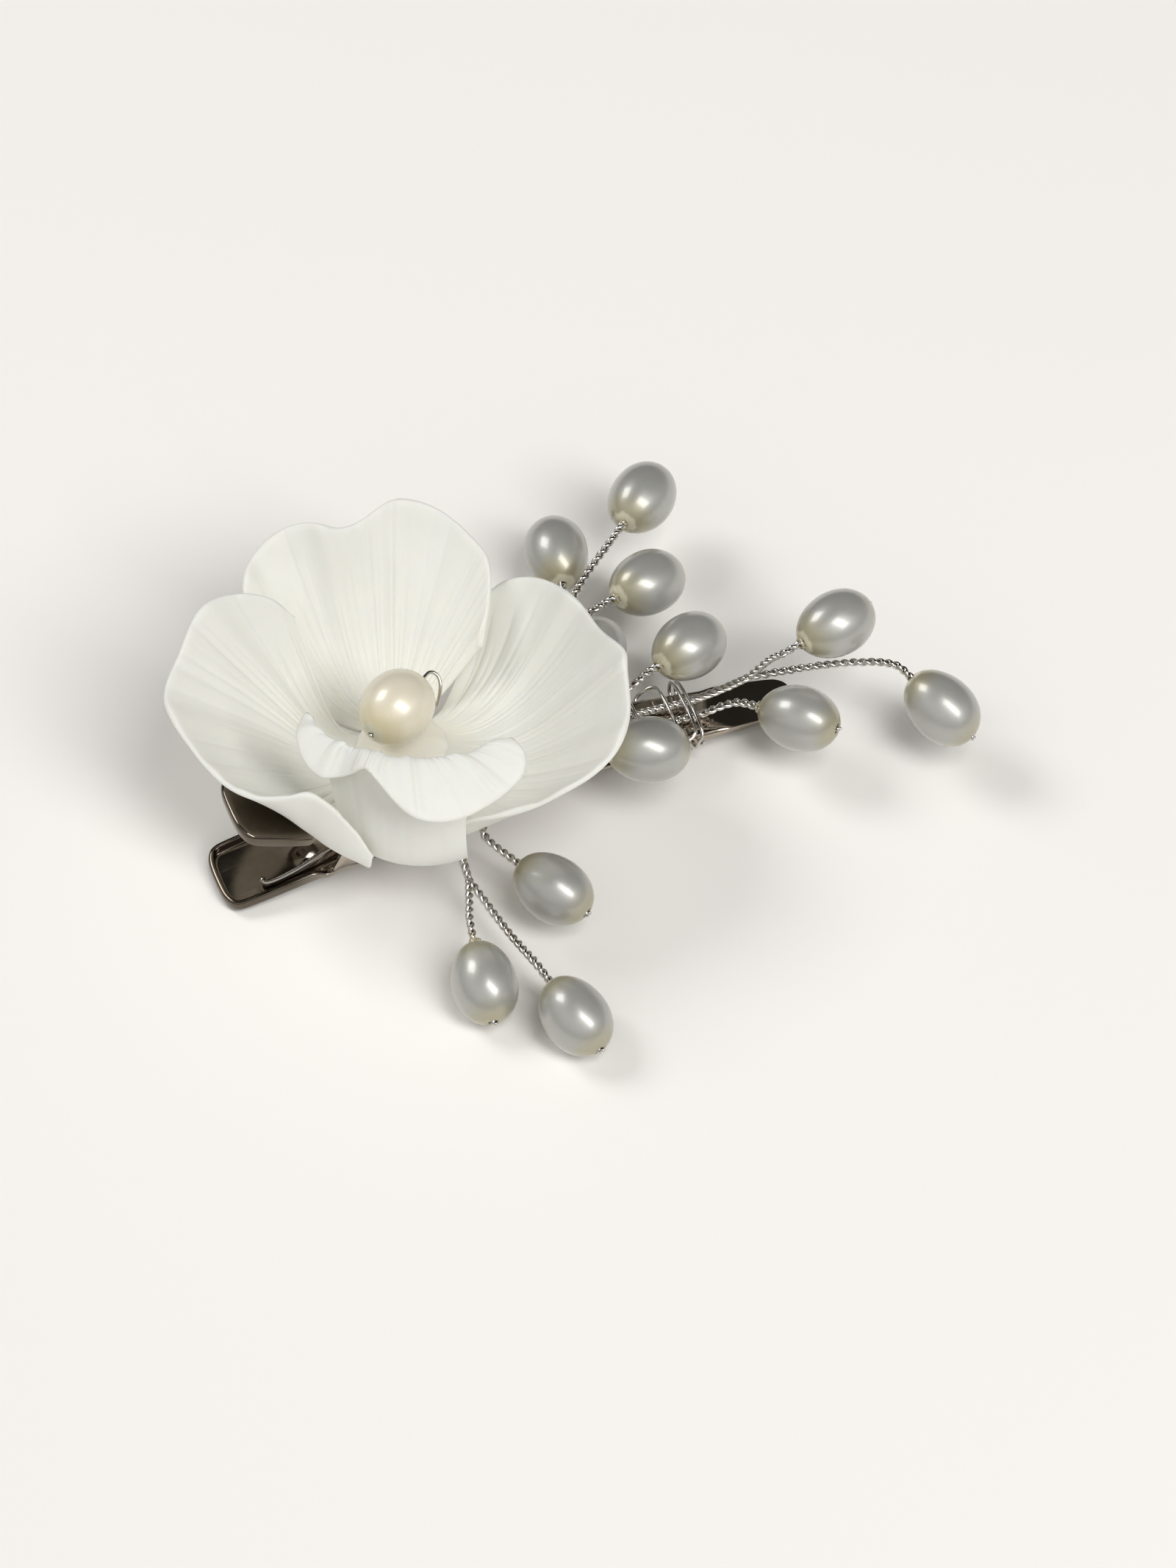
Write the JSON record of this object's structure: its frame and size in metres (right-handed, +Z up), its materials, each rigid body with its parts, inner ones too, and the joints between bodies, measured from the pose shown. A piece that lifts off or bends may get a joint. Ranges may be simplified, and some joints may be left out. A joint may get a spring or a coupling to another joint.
{
  "type": "flower hair clip",
  "caption": "Sprung metal hair clip with a clay flower, a centre pearl and wired sprigs of egg-shaped pearls that fan out from the jaw.",
  "frame": {"origin": "on the table below the middle of the whole clip's box", "axes": "+X along the clip from the finger tabs to the jaw tip, +Z up off the table"},
  "size_m": [0.0828, 0.065, 0.0251],
  "materials": {
    "clip_metal": "polished plated steel",
    "pin_metal": "polished",
    "spring_wire": "bright drawn wire",
    "petal_clay": "satin pressed clay",
    "core_clay": "satin clay",
    "glue": "clear glossy glue",
    "cream_pearl": "pearl lustre",
    "silver_pearl": "pearl lustre",
    "stem_wire": "twisted silvered wire",
    "binding_wire": "fine silvered wire"
  },
  "bodies": {
    "lower_body": {"lower_arm": "clip_metal", "hinge_pin": "pin_metal", "torsion_spring": "spring_wire"},
    "upper_body": {"binding_wire_jaw": "binding_wire", "centre_pearl": "cream_pearl", "centre_wire": "stem_wire", "flower_core": "core_clay", "glue_pad": "glue", "petal_back": "petal_clay", "petal_front": "petal_clay", "petal_left": "petal_clay", "petal_right": "petal_clay", "rice_pearl_01": "silver_pearl", "rice_pearl_02": "silver_pearl", "rice_pearl_03": "silver_pearl", "rice_pearl_04": "silver_pearl", "rice_pearl_05": "silver_pearl", "rice_pearl_06": "silver_pearl", "rice_pearl_07": "silver_pearl", "rice_pearl_08": "silver_pearl", "rice_pearl_09": "silver_pearl", "rice_pearl_10": "silver_pearl", "rice_pearl_11": "silver_pearl", "rice_pearl_12": "silver_pearl", "stem_01": "stem_wire", "stem_02": "stem_wire", "stem_03": "stem_wire", "stem_04": "stem_wire", "stem_05": "stem_wire", "stem_06": "stem_wire", "stem_07": "stem_wire", "stem_08": "stem_wire", "stem_09": "stem_wire", "stem_10": "stem_wire", "stem_11": "stem_wire", "stem_12": "stem_wire", "trunk_back": "stem_wire", "trunk_front": "stem_wire", "trunk_tip": "stem_wire", "upper_arm": "clip_metal"}
  },
  "joints": [
    {"name": "jaw_hinge", "type": "hinge", "parent": "lower_body", "child": "upper_body", "pos_m": [-0.02537, 0.00328, 0.00519], "axis": [0, -1, 0], "range_deg": [0, 32], "stiffness_Nm_per_rad": 0.12, "springref_deg": -20.05, "deforming": ["torsion_spring"]}
  ]
}
